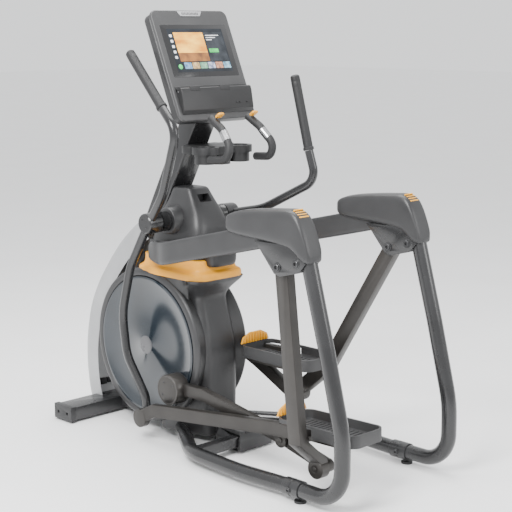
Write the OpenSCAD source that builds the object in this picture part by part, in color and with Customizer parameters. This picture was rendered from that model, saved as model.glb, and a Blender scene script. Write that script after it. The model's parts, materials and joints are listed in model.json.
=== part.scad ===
// Elliptical trainer with a centre drive housing, hanging rear rockers and moving hand levers.
// X is the user's right, Y is forward, Z is up, and the floor is z = 0.

/* [Overall] */
// Length from the rear tubes to the nose of the housing
length = 1858; // [1780:1:1990]
// Distance between the centre planes of the two rear tubes
stance = 644; // [620:1:700]
// Height of the console's top edge
height = 1851; // [1780:1:1950]

/* [Frame] */
// Diameter of the rear and lower tubes
tube_d = 62; // [50:1:66]
// Height of the overhead beams
beam_h = 96; // [80:1:110]
// Width of the overhead beams
beam_w = 56; // [46:1:60]
// Thickness of the bracket plates that carry the rocker pivots
plate_t = 8; // [5:1:12]
// Width of the front foot bar along Y
foot_bar_w = 118; // [90:1:140]
// Length of the front foot bar along X
foot_bar_l = 640; // [500:1:700]

/* [Drive] */
// Radius of the round crank covers
disc_r = 306; // [290:1:312]
// Distance from the centre plane to the crank covers' outer faces
disc_x = 149; // [140:1:152]
// Height of the crank axle
crank_z = 391; // [380:1:400]
// Distance from the crank axle to each crank pin
crank_throw = 274; // [250:1:285]
// Radius of the crank pulley
pulley_r = 150; // [110:1:170]
// Radius of the flywheel
flywheel_r = 118; // [90:1:125]

/* [Linkage] */
// Angle of the left crank behind the axle and below the horizontal
crank_rest = 32.5; // [26:0.5:36]
// Height of the rocker pivots
rocker_z = 903; // [890:1:920]
// Length of the rockers between their pivots
rocker_l = 797; // [780:1:805]
// Lean of the left rocker behind the vertical at rest
rocker_rest = 6.5; // [5:0.5:9]
// Distance along each crank link from the crank pin to the pedal arm's pivot
arm_back = 660; // [600:1:680]
// Depth of the crank link's box section
link_h = 50; // [40:1:56]
// Depth of the rocker's box section
rocker_h = 62; // [50:1:66]
// Depth of the pedal arm's box section
arm_h = 54; // [40:1:58]

/* [Levers] */
// Height of the hand levers' axle
lever_z = 960; // [945:1:975]
// Distance from the lever axle to the pedal arm joint
lever_l = 857; // [845:1:868]
// Diameter of the lever tubes
lever_d = 38; // [32:1:40]
// Diameter of the lever grips
grip_d = 41; // [36:1:44]
// Radius of the lever hubs
hub_r = 44; // [38:1:48]

/* [Pedals] */
// Length of the pedal trays
pedal_l = 412; // [360:1:420]
// Width of the pedal trays
pedal_w = 194; // [160:1:196]
// Gap between each pedal tray and the centre plane
pedal_gap = 42; // [30:1:46]
// Height of the pedal trays' rims
pedal_h = 50; // [36:1:54]

/* [Console] */
// Width of the console's front frame
console_w = 430; // [400:1:470]
// Lean of the console ahead of the vertical
console_lean = 23.4; // [15:0.1:30]
// Width of the dark screen glass
screen_w = 374; // [330:1:380]
// Height of the dark screen glass
screen_h = 234; // [200:1:240]
// Depth of the console's rear shell
console_d = 44; // [34:1:60]
// Diameter of the tubes of the fixed grips
fixed_grip_d = 34; // [28:1:38]
// Diameter of the cup pockets
cup_d = 82; // [70:1:88]

/* [Feet] */
// Diameter of the levelling feet
foot_d = 48; // [40:1:56]
// Diameter of the transport wheels
wheel_d = 50; // [44:1:54]

/* [Hidden] */
$fn = 64;
eps = 0.01;
hull_fn = 32;
tube_sides = 24;
bend_steps = 7;
gap = 1;
run_gap = 0.05;

// Pivot positions in the (y, z) side plane.
nose_reach = 509;
tail_reach = 331;
crank_y = length / 2 - nose_reach;
rocker_y = -length / 2 + tail_reach;
lever_y = crank_y - 136;
crank_at = [crank_y, crank_z];
rocker_at = [rocker_y, rocker_z];
lever_at = [lever_y, lever_z];

arm_rise = 23;

// Left side at rest, from the driving angles.
crank_pin_left = crank_at - crank_throw * turn(crank_rest);
foot_pin_left = rocker_at + rocker_l * turn(-90 - rocker_rest);
link_l = norm(foot_pin_left - crank_pin_left);
arm_pin_left = link_point(crank_pin_left, foot_pin_left);
lever_rest = -87.9;
hand_pin_left = lever_at + lever_l * turn(lever_rest);
arm_l = norm(hand_pin_left - arm_pin_left);

// Right side, half a crank turn later, closed by circle intersections.
crank_pin_right = crank_at + crank_throw * turn(crank_rest);
foot_pin_right = meet(crank_pin_right, link_l, rocker_at, rocker_l, 1);
arm_pin_right = link_point(crank_pin_right, foot_pin_right);
hand_pin_right = meet(lever_at, lever_l, arm_pin_right, arm_l, 1);

link_turn_left = bearing(crank_pin_left - foot_pin_left);
link_turn_right = bearing(crank_pin_right - foot_pin_right);
rocker_turn_left = bearing(foot_pin_left - rocker_at);
rocker_turn_right = bearing(foot_pin_right - rocker_at);
arm_turn_left = bearing(hand_pin_left - arm_pin_left);
arm_turn_right = bearing(hand_pin_right - arm_pin_right);
lever_turn_left = bearing(hand_pin_left - lever_at);
lever_turn_right = bearing(hand_pin_right - lever_at);
echo(crank = crank_at, rocker = rocker_at, lever = lever_at);
echo(left = [crank_pin_left, foot_pin_left, arm_pin_left, hand_pin_left]);
echo(right = [crank_pin_right, foot_pin_right, arm_pin_right, hand_pin_right]);
echo(turns_left = [rocker_turn_left, link_turn_left, arm_turn_left, lever_turn_left]);
echo(turns_right = [rocker_turn_right, link_turn_right, arm_turn_right, lever_turn_right]);

// Planes of the side mechanism, as distances from the centre plane.
tube_x = stance / 2;
hub_x = disc_x + 4;
link_x = disc_x + 8;
link_w = 34;
lug_x = link_x + link_w + 1.5;
lug_w = 14;
arm_x = disc_x + 103;
arm_w = 29;
rocker_w = 42;
rocker_x = tube_x - rocker_w / 2;
rocker_end_x = link_x + link_w + 8;
lever_x = 247;
plate_in = tube_x - 40;
plate_out = tube_x + 32;
tube_z = 50;
rear_y = -length / 2 + tube_d / 2;

// Tower and housing.
wall = 4;
shroud_x = disc_x - 2;
shroud_r = disc_r + 40;
shroud_top = 716;
band_top = 800;
recess = 18;
post_w = 90;
spine_h = 60;
spine_z = 24;
bar_y = crank_y + 304;
mast_w = 122;
mast_d = 96;
mast_lean = 28.4;
mast_foot = [lever_y + 206, 900];
mast_top = 1392;
mast_half = mast_d / 2 / cos(mast_lean);

// Console frame: its origin is the bottom of the face, with +Y up the face and +Z towards the user.
face_z = 1400;
face_h = (height - face_z) / cos(console_lean);
face_at = [0, lever_y - 195, face_z];
face_t = 18;

function unit(v) = v / norm(v);
function turn(a) = [cos(a), sin(a)];
function bearing(v) = atan2(v.y, v.x);
// The arm's pivot on a link: back from the crank pin and a little above the straight line.
function link_point(a, b) = let (u = unit(b - a)) a + u * arm_back + [u.y, -u.x] * arm_rise;
// Where circles about a and b meet, on the right of the line from a to b when side is -1.
function meet(a, ra, b, rb, side) =
    let (d = norm(b - a), u = (b - a) / d, k = (ra * ra - rb * rb + d * d) / (2 * d))
    a + u * k + side * [-u.y, u.x] * sqrt(ra * ra - k * k);

// Centreline points of a bent path: corners p with bend radii r.
function corner_angle(p, i) = acos(unit(p[i] - p[i - 1]) * unit(p[i + 1] - p[i]));
function corner(p, r, i) =
    let (u = unit(p[i] - p[i - 1]), v = unit(p[i + 1] - p[i]), a = corner_angle(p, i),
        n = unit(v - u * (u * v)), from = p[i] - u * r[i] * tan(a / 2))
    [for (k = [0 : bend_steps]) let (b = a * k / bend_steps)
        from + r[i] * (u * sin(b) + n * (1 - cos(b)))];
function path(p, r) = [
    p[0],
    for (i = [1 : len(p) - 2]) each corner(p, r, i),
    p[len(p) - 1],
];
function tangent(c, i) =
    i == 0 ? unit(c[1] - c[0])
    : i == len(c) - 1 ? unit(c[i] - c[i - 1])
    : unit(unit(c[i + 1] - c[i]) + unit(c[i] - c[i - 1]));
function ring(c, i, rad, up) =
    let (t = tangent(c, i), u = unit(cross(up, t)), v = cross(t, u))
    [for (k = [0 : tube_sides - 1]) c[i] + rad * (u * cos(360 * k / tube_sides) + v * sin(360 * k / tube_sides))];

// Round bar along a centreline; up is any direction that the line never follows.
module bar(c, rad, up = [1, 0, 0]) {
    n = len(c);
    s = tube_sides;
    polyhedron(
        points = [for (i = [0 : n - 1]) each ring(c, i, rad, up)],
        faces = [
            [for (k = [0 : s - 1]) k],
            [for (k = [s - 1 : -1 : 0]) (n - 1) * s + k],
            for (i = [0 : n - 2], k = [0 : s - 1]) each [
                [i * s + k, (i + 1) * s + (k + 1) % s, i * s + (k + 1) % s],
                [i * s + k, (i + 1) * s + k, (i + 1) * s + (k + 1) % s],
            ],
        ]);
}
// Extrudes a (y, z) outline along X from x0.
module slab(x0, w) {
    multmatrix([[0, 0, 1, x0], [1, 0, 0, 0], [0, 1, 0, 0], [0, 0, 0, 1]]) linear_extrude(w) children();
}
// Flat outline between two points with round ends.
module strip(a, b, w) {
    n = [a.y - b.y, b.x - a.x] / norm(b - a) * w / 2;
    polygon([a + n, a - n, b - n, b + n]);
}
module chain(pts, w) {
    for (k = [1 : len(pts) - 1]) strip(pts[k - 1], pts[k], w);
    for (q = pts) translate(q) circle(w / 2 + 1.2);
}
module strut(a, b, w) {
    translate(a) rotate(bearing(b - a)) translate([0, -w / 2]) square([norm(b - a), w]);
    translate(a) circle(w / 2);
    translate(b) circle(w / 2);
}
module disc(p, x0, x1, rad) {
    translate([x0, p.x, p.y]) rotate([0, 90, 0]) cylinder(h = x1 - x0, r = rad);
}
module box(lo, hi) {
    translate(lo) cube(hi - lo);
}
module pair() {
    children();
    mirror([1, 0, 0]) children();
}
module left() {
    mirror([1, 0, 0]) children();
}
// Places children in a side-plane frame: origin at p, local +Y along the bearing a.
module posed(p, a) {
    translate([0, p.x, p.y]) rotate([a, 0, 0]) children();
}
module rounded(w, h, rad) {
    for (x = [rad, w - rad], y = [rad, h - rad]) translate([x, y]) circle(rad);
    translate([rad, 0]) square([w - 2 * rad, h]);
    translate([0, rad]) square([w, h - 2 * rad]);
}

// ---- floor frame ----
wheel_w = 22;
wheel_x = foot_bar_l / 2 - 40;
wheel_pin_r = 5;
lug_t = 6;
wheel_at = [bar_y + foot_bar_w + 34, wheel_d / 2 + 6];
skirt_y = crank_y - 546;
cross_y = skirt_y + 40;
loop_y = crank_y - 184;
sleeve_y = rear_y + 240;
cross_end = tube_x - tube_d / 2 + 5;
module base_frame() {
    color("dimgray") {
        box([-post_w / 2, cross_y - 22, spine_z], [post_w / 2, bar_y + 10, spine_z + spine_h]);
        box([-foot_bar_l / 2, bar_y, spine_z - 12], [foot_bar_l / 2, bar_y + foot_bar_w, spine_z - 12 + spine_h]);
        box([-cross_end, cross_y - 22, tube_z - 22], [cross_end, cross_y + 22, tube_z + 22]);
        pair() for (x0 = [wheel_x - lug_t - gap, wheel_x + wheel_w + gap]) difference() {
            slab(x0, lug_t) {
                strip([bar_y + foot_bar_w - 6, wheel_at.y + 6], wheel_at, 22);
                translate(wheel_at) circle(13);
            }
            disc(wheel_at, x0 - 1, x0 + lug_t + 1, wheel_pin_r + run_gap);
        }
    }
}
cap_l = 26;
cap_screw_z = spine_z + 18;
module cap_screw_at(x0, x1, rad) {
    for (s = [-1, 1]) disc([bar_y + foot_bar_w / 2 + s * 32, cap_screw_z], x0, x1, rad);
}
module foot_end_caps() {
    out = foot_bar_l / 2 + cap_l;
    color("#303030") pair() difference() {
        box([foot_bar_l / 2, bar_y - 4, spine_z - 16], [out, bar_y + foot_bar_w + 4, spine_z + spine_h - 8]);
        cap_screw_at(out - 8, out + 1, 7);
    }
}
bolt_head = 9;
module frame_bolts() {
    out = foot_bar_l / 2 + cap_l;
    color("silver") pair() {
        cap_screw_at(out - 8, out - 3, 6);
        disc([sleeve_y, tube_z], tube_x - tube_d / 2 - 12, tube_x - tube_d / 2 - 5, bolt_head);
        disc([sleeve_y, tube_z], tube_x + tube_d / 2 + 5, tube_x + tube_d / 2 + 12, bolt_head);
        for (p = [rocker_at, rear_bolt]) {
            disc(p, plate_out + plate_t, plate_out + plate_t + 7, 15);
            disc(p, plate_in - 7, plate_in, 15);
        }
    }
}
module coupling_sleeves() {
    color("#202020") pair() difference() {
        translate([tube_x, sleeve_y - 42, tube_z]) rotate([-90, 0, 0]) cylinder(h = 84, r = tube_d / 2 + 5);
        translate([tube_x, sleeve_y - 43, tube_z]) rotate([-90, 0, 0]) cylinder(h = 86, r = tube_d / 2 + 0.3);
    }
}
module lower_tube() {
    p = [[tube_x, sleeve_y + 1, tube_z], [tube_x, sleeve_y + 60, tube_z], [tube_x + 16, sleeve_y + 286, tube_z],
        [tube_x, cross_y + 16, tube_z], [110, loop_y, tube_z], [post_w / 2 + 1, loop_y, tube_z]];
    color("#1c1c1c") pair() bar(path(p, [0, 400, 900, 260, 90, 0]), tube_d / 2, [0, 0, 1]);
}
tube_top_z = 985;
module rear_tube() {
    p = [[tube_x, rear_y + 188, tube_top_z], [tube_x, rear_y + 84, 620], [tube_x, rear_y + 1, 300],
        [tube_x, rear_y, tube_z], [tube_x, sleeve_y - 1, tube_z]];
    bar(path(p, [0, 800, 500, 134, 0]), tube_d / 2);
}
module rear_tube_left() { color("#1c1c1c") left() rear_tube(); }
module rear_tube_right() { color("#1c1c1c") rear_tube(); }

// ---- overhead beams ----
beam_slope = 13.6;
beam_out = tube_x + beam_w / 2;
crease = [lever_y - 205, 866];
beam_end = [rocker_y - 70, crease.y + (crease.x - rocker_y + 70) * tan(beam_slope)];
beam_inboard = 31;
beam_front = 310;
beam_drop = 44;
beam_foot_x = 108;
module beam_plan(grow) {
    tip = beam_out - beam_front * tan(beam_inboard);
    polygon([[beam_out + grow, beam_end.x], [beam_out + grow, crease.x], [tip + grow, crease.x + beam_front + grow],
        [tip - beam_w - grow, crease.x + beam_front + grow], [beam_out - beam_w - grow, crease.x - 16 - grow],
        [beam_out - beam_w - grow, beam_end.x]]);
}
module beam_side(grow) {
    half = beam_h / 2 + grow;
    fore = crease.x + beam_front + grow;
    polygon([[beam_end.x, beam_end.y - half], [beam_end.x, beam_end.y + half], [crease.x, crease.y + half],
        [fore, crease.y - beam_drop + half], [fore, crease.y - beam_drop - half], [crease.x, crease.y - half]]);
}
module beam() {
    difference() {
        intersection() {
            slab(beam_foot_x, 400) beam_side(0);
            linear_extrude(1300) beam_plan(0);
        }
        slab(plate_in - 1, 100) plate_outline();
    }
}
module beam_left() { color("#262626") left() beam(); }
module beam_right() { color("#262626") beam(); }

rear_bolt = rocker_at + [-98, 25];
pin_r = 13;
module plate_outline() {
    polygon([for (q = [[119, 86], [98, 66], [16, -26], [-16, -34], [-112, -8], [-143, 29], [-96, 80], [-76, 90]]) rocker_at + q]);
}
module bracket_plates() {
    color("#2c2c2c") pair() for (x0 = [plate_in, plate_out]) difference() {
        slab(x0, plate_t) plate_outline();
        disc(rocker_at, x0 - 1, x0 + plate_t + 1, pin_r + run_gap);
    }
}
cover_t = 16;
cover_top = [[296, 140], [265, 169], [215, 189], [107, 206], [0, 215], [-60, 217], [-96, 196], [-116, 168], [-160, 40],
    [-120, 24], [-84, 78], [249, 100]];
module beam_cover() {
    wide = beam_w + 2 * cover_t;
    difference() {
        hull() {
            slab(beam_out + cover_t - wide + 14, wide - 28) polygon([for (q = cover_top) rocker_at + q]);
            slab(beam_out + cover_t - wide, wide) polygon([for (q = cover_top) rocker_at + [q.x * 0.97 - 4, q.y * 0.9 + 8]]);
        }
        slab(beam_out - beam_w - 0.5, beam_w + 1) polygon([[beam_end.x - 1, 0], [beam_end.x - 1, beam_end.y + beam_h / 2 + 0.5],
            [crease.x, crease.y + beam_h / 2 + 0.5], [crease.x, 0]]);
        bar([[tube_x, rear_y + 217, tube_top_z + 100], [tube_x, rear_y + 84, 620]], tube_d / 2 + 0.5);
        slab(plate_in - 60, 200) offset(delta = 2) plate_outline();
        box([0, rocker_y - 100, 0], [500, rocker_y + 260, rocker_z + 62]);
    }
}
module beam_cover_left() { color("#4a4a4a") left() beam_cover(); }
module beam_cover_right() { color("#4a4a4a") beam_cover(); }

// ---- tower ----
post_y = crank_y - 16;
post_d = 70;
block_w = 72;
bearing_r = 43.5;
flywheel_at = crank_at + [-150, 235];
flywheel_axle_r = 10;
stay_x = 54;
stay_t = 8;
module tower_post() {
    axle_block = [lever_y - 26, lever_y + 26];
    color("#202020") difference() {
        union() {
            box([-post_w / 2, post_y, spine_z + spine_h + 0.2], [post_w / 2, post_y + post_d, mast_foot.y - 0.2]);
            box([-block_w, crank_y - 66, crank_z - 62], [block_w, crank_y + 66, crank_z + 62]);
            box([-post_w / 2, axle_block[0], lever_z - 32], [post_w / 2, post_y + 1, lever_z + 32]);
            box([-post_w / 2, post_y - 60, 810], [post_w / 2, post_y + 1, lever_z]);
            disc(lever_at, -236, 236, 22);
            pair() box([post_w / 2 - 1, post_y - 50, crease.y - 76], [beam_foot_x - 0.2, post_y + 30, crease.y - 4]);
            for (x0 = [-stay_x - stay_t, stay_x]) slab(x0, stay_t) strut(flywheel_at, [post_y + 30, flywheel_at.y], 60);
            pair() box([post_w / 2 - 1, post_y + 2, flywheel_at.y - 30], [stay_x + stay_t, post_y + post_d - 2, flywheel_at.y + 30]);
        }
        disc(crank_at, -200, 200, bearing_r + 0.5);
        disc(flywheel_at, -100, 100, flywheel_axle_r + run_gap);
        mast_frame() box([-mast_w, -mast_half - 0.2, -100], [mast_w, mast_half + 0.2, 300]);
    }
}
module mast_frame() {
    multmatrix([[1, 0, 0, 0], [0, 1, -tan(mast_lean), mast_foot.x], [0, 0, 1, mast_foot.y], [0, 0, 0, 1]]) children();
}
module mast() {
    color("#202020") mast_frame() box([-mast_w / 2, -mast_half, 0], [mast_w / 2, mast_half, mast_top - mast_foot.y]);
}

// ---- housing ----
column_y = crank_y - 344;
waist = 58;
module side_outline(inset) {
    intersection() {
        union() {
            translate(crank_at) circle(shroud_r - inset);
            polygon([[column_y + inset, 20], [column_y + inset, 430], [column_y + waist + inset, 620],
                [column_y + waist + inset, 660], [column_y + inset, shroud_top - inset],
                [crank_y + 110, shroud_top - inset], [crank_y + 110, 20]]);
        }
        translate([column_y - 10, spine_z + inset - 4]) square([900, shroud_top - spine_z + 4 - 2 * inset]);
    }
}
module plan_outline(inset) {
    nose = crank_y + shroud_r;
    polygon([[0, column_y + inset], [72 - inset, column_y + inset], [88 - inset, column_y + 14 + inset],
        [shroud_x - inset, column_y + 64], [shroud_x - inset, nose - 120], [shroud_x - 44 - inset, nose],
        [0, nose]]);
}
module shroud() {
    difference() {
        intersection() {
            slab(0.5, 300) side_outline(0);
            linear_extrude(900) plan_outline(0);
        }
        intersection() {
            slab(-1, shroud_x - recess - wall + 1) side_outline(wall);
            linear_extrude(900) offset_plan();
        }
        disc(crank_at, shroud_x - recess, 200, disc_r + 3);
        disc(crank_at, -1, 200, 40);
        box([-1, column_y - 10, spine_z - 10], [post_w / 2 + 1, bar_y + 20, spine_z + spine_h + 1]);
        box([-1, column_y - 10, -1], [400, loop_y + tube_d / 2 + 8, tube_z + tube_d / 2 + 3]);
        box([-1, crank_y - 70, crank_z - 66], [block_w + 2, crank_y + 70, crank_z + 66]);
        box([-1, flywheel_at.x - flywheel_r - 18, shroud_top - 10], [post_w / 2 + 1, post_y + post_d + 1, shroud_top + 1]);
    }
}
module offset_plan() {
    translate([-1, 0]) plan_outline(wall);
}
module shroud_left() { color("#3c3c3c") left() shroud(); }
module shroud_right() { color("#3c3c3c") shroud(); }

front_w = 104;
module front_cover() {
    color("#c4c4c4") difference() {
        intersection() {
            slab(-front_w, 2 * front_w) polygon([
                [crank_y + 300, 40], [length / 2 - 28, 40], [length / 2 - 4, 120], [length / 2, 230], [length / 2 - 6, 360],
                [length / 2 - 42, 500], [length / 2 - 104, 625], [length / 2 - 196, 745], [length / 2 - 288, 845],
                [length / 2 - 372, 915], [length / 2 - 440, 955], [length / 2 - 468, 900], [length / 2 - 440, 712],
                [crank_y + 160, 712], [crank_y + 300, 600]]);
            linear_extrude(1100) polygon([[-front_w, 0], [front_w, 0], [front_w, length / 2 - 120], [front_w - 22, length / 2 - 50],
                [front_w - 60, length / 2], [-front_w + 60, length / 2], [-front_w + 22, length / 2 - 50], [-front_w, length / 2 - 120]]);
        }
        disc(crank_at, -200, 200, shroud_r + gap);
        intersection() {
            slab(-front_w + wall, 2 * front_w - 2 * wall) polygon([
                [crank_y + 200, -5], [length / 2 - 34, -5], [length / 2 - 9, 120], [length / 2 - 5, 230], [length / 2 - 11, 358],
                [length / 2 - 47, 498], [length / 2 - 109, 621], [length / 2 - 200, 740], [length / 2 - 291, 839],
                [length / 2 - 376, 909], [length / 2 - 500, 975], [length / 2 - 500, 600]]);
            linear_extrude(1100) polygon([[-front_w + wall, 0], [front_w - wall, 0], [front_w - wall, length / 2 - 122],
                [front_w - 25, length / 2 - 55], [front_w - 64, length / 2 - 5], [-front_w + 64, length / 2 - 5],
                [-front_w + 25, length / 2 - 55], [-front_w + wall, length / 2 - 122]]);
        }
        box([-foot_bar_l, bar_y - 8, -1], [foot_bar_l, bar_y + foot_bar_w + 8, spine_z + spine_h]);
        mast_frame() box([-mast_w / 2 - 2, -mast_d, -100], [mast_w / 2 + 2, mast_d, 300]);
        box([-34.2, inlet_y - 1, 89.8], [0.2, length, 116.2]);
        box([7.8, inlet_y - 1, 91.8], [26.2, length, 114.2]);
    }
}
band_front = length / 2 - 445;
module accent_band() {
    color("orange") difference() {
        intersection() {
            slab(-shroud_x, 2 * shroud_x) polygon([[column_y + 2, shroud_top + gap], [column_y + 30, shroud_top + 34],
                [column_y + 34, band_top], [band_front, band_top], [band_front, shroud_top + gap]]);
            linear_extrude(1100) polygon([[-shroud_x, column_y + 70], [-86, column_y], [86, column_y], [shroud_x, column_y + 70],
                [shroud_x, band_front], [-shroud_x, band_front]]);
        }
        box([-shroud_x + 14, column_y + 60, 700], [shroud_x - 14, band_front + 1, band_top + 1]);
        pair() box([shroud_x - 10, 0, shroud_top + 26], [300, 900, band_top - 6]);
        pair() intersection() {
            slab(60, 400) beam_side(gap);
            linear_extrude(1300) beam_plan(gap);
        }
    }
}
shoulder_top = 1100;
collar_x = 138;
collar_r = 58;
module shoulder_shape(inset) {
    $fn = hull_fn;
    hull() {
        box([-118 + inset, column_y + 42 + inset, band_top + gap], [118 - inset, band_front - 16 - inset, band_top + gap + 10]);
        box([-104 + inset, lever_y - 162 + inset, 950], [104 - inset, lever_y + 118 - inset, 960]);
        box([-60 + inset, lever_y - 64 + inset, shoulder_top - 12 - inset], [60 - inset, lever_y + 54 - inset, shoulder_top - inset]);
    }
}
module shoulder_cover() {
    color("#454545") difference() {
        union() {
            shoulder_shape(0);
            disc(lever_at, -collar_x, collar_x, collar_r);
        }
        difference() {
            shoulder_shape(7);
            box([-200, -500, band_top - 50], [200, 900, band_top + gap - eps]);
        }
        box([-111, column_y + 49, band_top - 20], [111, band_front - 13, band_top + 20]);
        disc(lever_at, -200, 200, 24);
        box([-34, lever_y - 136, shoulder_top - 62], [34, lever_y - 16, shoulder_top - 26]);
        mast_frame() box([-mast_w / 2 - 2, -mast_half - 2, -100], [mast_w / 2 + 2, mast_half + 80, 300]);
        box([-post_w / 2 - 1, post_y - 62, band_top], [post_w / 2 + 1, post_y + post_d + 1, lever_z + 33]);
        pair() intersection() {
            slab(60, 400) beam_side(2);
            linear_extrude(1300) beam_plan(2);
        }
        pair() box([90, post_y - 54, crease.y - 78], [200, post_y + 34, crease.y - 2]);
    }
}
module rear_pocket() {
    color("#262626") difference() {
        box([-74, column_y + 2, band_top + gap], [74, column_y + 39, 872]);
        box([-66, column_y - 4, band_top + 10], [66, column_y + 30, 864]);
    }
}
module base_skirt() {
    color("#3a3a3a") difference() {
        hull() {
            box([-96, skirt_y, 8], [96, skirt_y + 150, 56]);
            box([-76, skirt_y + 22, 8], [76, skirt_y + 150, 88]);
        }
        box([-post_w / 2 - 1, cross_y - 23, 0], [post_w / 2 + 1, skirt_y + 160, 89]);
        box([-200, cross_y - 23, -1], [200, cross_y + 23, tube_z + 24]);
    }
}

// ---- drive inside the housing ----
axle_r = 15;
bearing_w = 18;
belt_x = 84;
belt_w = 14;
spindle_r = 24;
module crank_bearings() {
    color("silver") pair() difference() {
        disc(crank_at, block_w - bearing_w, block_w, bearing_r);
        disc(crank_at, block_w - bearing_w - 1, block_w + 1, axle_r + run_gap);
    }
}
module belt_outline(t) {
    v = flywheel_at - crank_at;
    wrap = acos((pulley_r - spindle_r) / norm(v));
    polygon([
        for (k = [0 : 24]) crank_at + (pulley_r + t) * turn(bearing(v) + wrap + (360 - 2 * wrap) * k / 24),
        for (k = [0 : 8]) flywheel_at + (spindle_r + t) * turn(bearing(v) - wrap + 2 * wrap * k / 8),
    ]);
}
module drive_belt() {
    color("#101010") difference() {
        slab(belt_x, belt_w) belt_outline(5);
        slab(belt_x - 1, belt_w + 2) belt_outline(2);
    }
}
module brake_coil() {
    color("#8a6a3a") difference() {
        slab(-40, 24) intersection() {
            translate(flywheel_at) circle(flywheel_r + 13);
            translate(flywheel_at + [-160, 20]) square([320, 130]);
        }
        disc(flywheel_at, -41, -15, flywheel_r - 22);
    }
}
module control_board() {
    color("green") box([-70, crank_y + 150, 450], [-66, crank_y + 250, 560]);
}
inlet_y = length / 2 - 36;
switch_travel = 3;
module power_inlet() {
    color("#181818") box([-34, inlet_y, 90], [0, length / 2 - 12, 116]);
}
module power_switch() {
    color("#181818") box([8, inlet_y + switch_travel, 92], [26, length / 2 - 10, 114]);
}
module crank_axle() {
    color("silver") {
        disc(crank_at, -134, 134, axle_r);
        pair() disc(crank_at, 120, 134, 36);
    }
}
module crank_pulley() {
    color("#555555") difference() {
        disc(crank_at, belt_x, belt_x + belt_w, pulley_r);
        disc(crank_at, belt_x - 1, belt_x + belt_w + 1, axle_r);
    }
}
module crank_discs() {
    color("#2d343c") pair() {
        disc(crank_at, 134, disc_x, disc_r);
        disc(crank_at, disc_x - 1, disc_x + 1.5, 40);
    }
}
module flywheel() {
    color("#707070") {
        disc(flywheel_at, -12, 14, flywheel_r);
        disc(flywheel_at, -stay_x - stay_t - 2, belt_x + belt_w + 2, flywheel_axle_r);
        disc(flywheel_at, belt_x, belt_x + belt_w, spindle_r);
    }
}

// ---- hand levers: drawn as the left one stands at rest, then turned about the lever axle ----
lever_end = lever_l * turn(lever_rest);
lever_end_x = 232;
lever_low = [[lever_x, 12, -20], [lever_x, 120, -205], [lever_x, 176, -420], [lever_x, 148, -600],
    [lever_end_x, lever_end.x + 14, lever_end.y + 90], [lever_end_x, lever_end.x, lever_end.y]];
lever_ring = [298, -170, 496];
lever_tip = [272, 66, 718];
lever_high = [[lever_x, -14, 12], [268, -130, 135], [312, -270, 410], lever_ring];
module hand_lever(a) {
    color("#3c3835") posed(lever_at, a - lever_rest) difference() {
        union() {
            disc([0, 0], collar_x + 1.5, 262, hub_r);
            bar(path(lever_low, [0, 200, 300, 200, 80, 0]), lever_d / 2);
            bar(path(lever_high, [0, 300, 76, 0]), lever_d / 2);
            disc(lever_end, lever_end_x - 9, lever_end_x + 14, 24);
        }
        disc([0, 0], collar_x, 240, 22 + run_gap);
    }
}
module hand_lever_left() { left() hand_lever(lever_turn_left); }
module hand_lever_right() { hand_lever(lever_turn_right); }
module lever_grip(a) {
    color("#222222") posed(lever_at, a - lever_rest)
        bar([lever_ring + unit(lever_tip - lever_ring), lever_tip], grip_d / 2);
}
module lever_grip_left() { left() lever_grip(lever_turn_left); }
module lever_grip_right() { lever_grip(lever_turn_right); }

// ---- crank links: local origin at the rocker's pivot, local +Y towards the crank pin ----
cap_r = 62;
cap_out = 226;
arm_pin = [link_l - arm_back, arm_rise];
arm_pin_r = 11;
foot_pin_r = 10;
module crank_link() {
    slab(link_x, link_w) {
        chain([[0, 0], arm_pin, [link_l - 170, 34], [link_l, 4]], link_h);
    }
    disc([link_l, 0], hub_x, cap_out, cap_r);
    disc(arm_pin, link_x, lug_x + lug_w + 3, arm_pin_r);
    disc([0, 0], link_x, rocker_end_x + rocker_w + 3, foot_pin_r);
}
module crank_link_left() { color("#3c3835") left() posed(foot_pin_left, link_turn_left) crank_link(); }
module crank_link_right() { color("#3c3835") posed(foot_pin_right, link_turn_right) crank_link(); }

// ---- rockers: local origin at the upper pivot, local +Y towards the lower pivot, where they bend inboard ----
bend_from = 118;
module rocker() {
    low = rocker_l + rocker_h / 2;
    difference() {
        union() {
            intersection() {
                slab(0, 500) strut([0, 0], [rocker_l, 0], rocker_h);
                translate([0, 0, -100]) linear_extrude(200) polygon([
                    [rocker_x, -rocker_h], [rocker_x, rocker_l - bend_from - 12], [rocker_end_x, rocker_l - 34], [rocker_end_x, low],
                    [rocker_end_x + rocker_w, low], [rocker_end_x + rocker_w, rocker_l - 26],
                    [rocker_x + rocker_w, rocker_l - bend_from], [rocker_x + rocker_w, -rocker_h]]);
            }
            disc([0, 0], plate_in + run_gap, plate_out + plate_t - run_gap, pin_r);
        }
        disc([rocker_l, 0], rocker_end_x - 1, rocker_end_x + rocker_w + 1, foot_pin_r + run_gap);
    }
}
module rocker_left() { color("#3c3835") left() posed(rocker_at, rocker_turn_left) rocker(); }
module rocker_right() { color("#3c3835") posed(rocker_at, rocker_turn_right) rocker(); }

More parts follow.
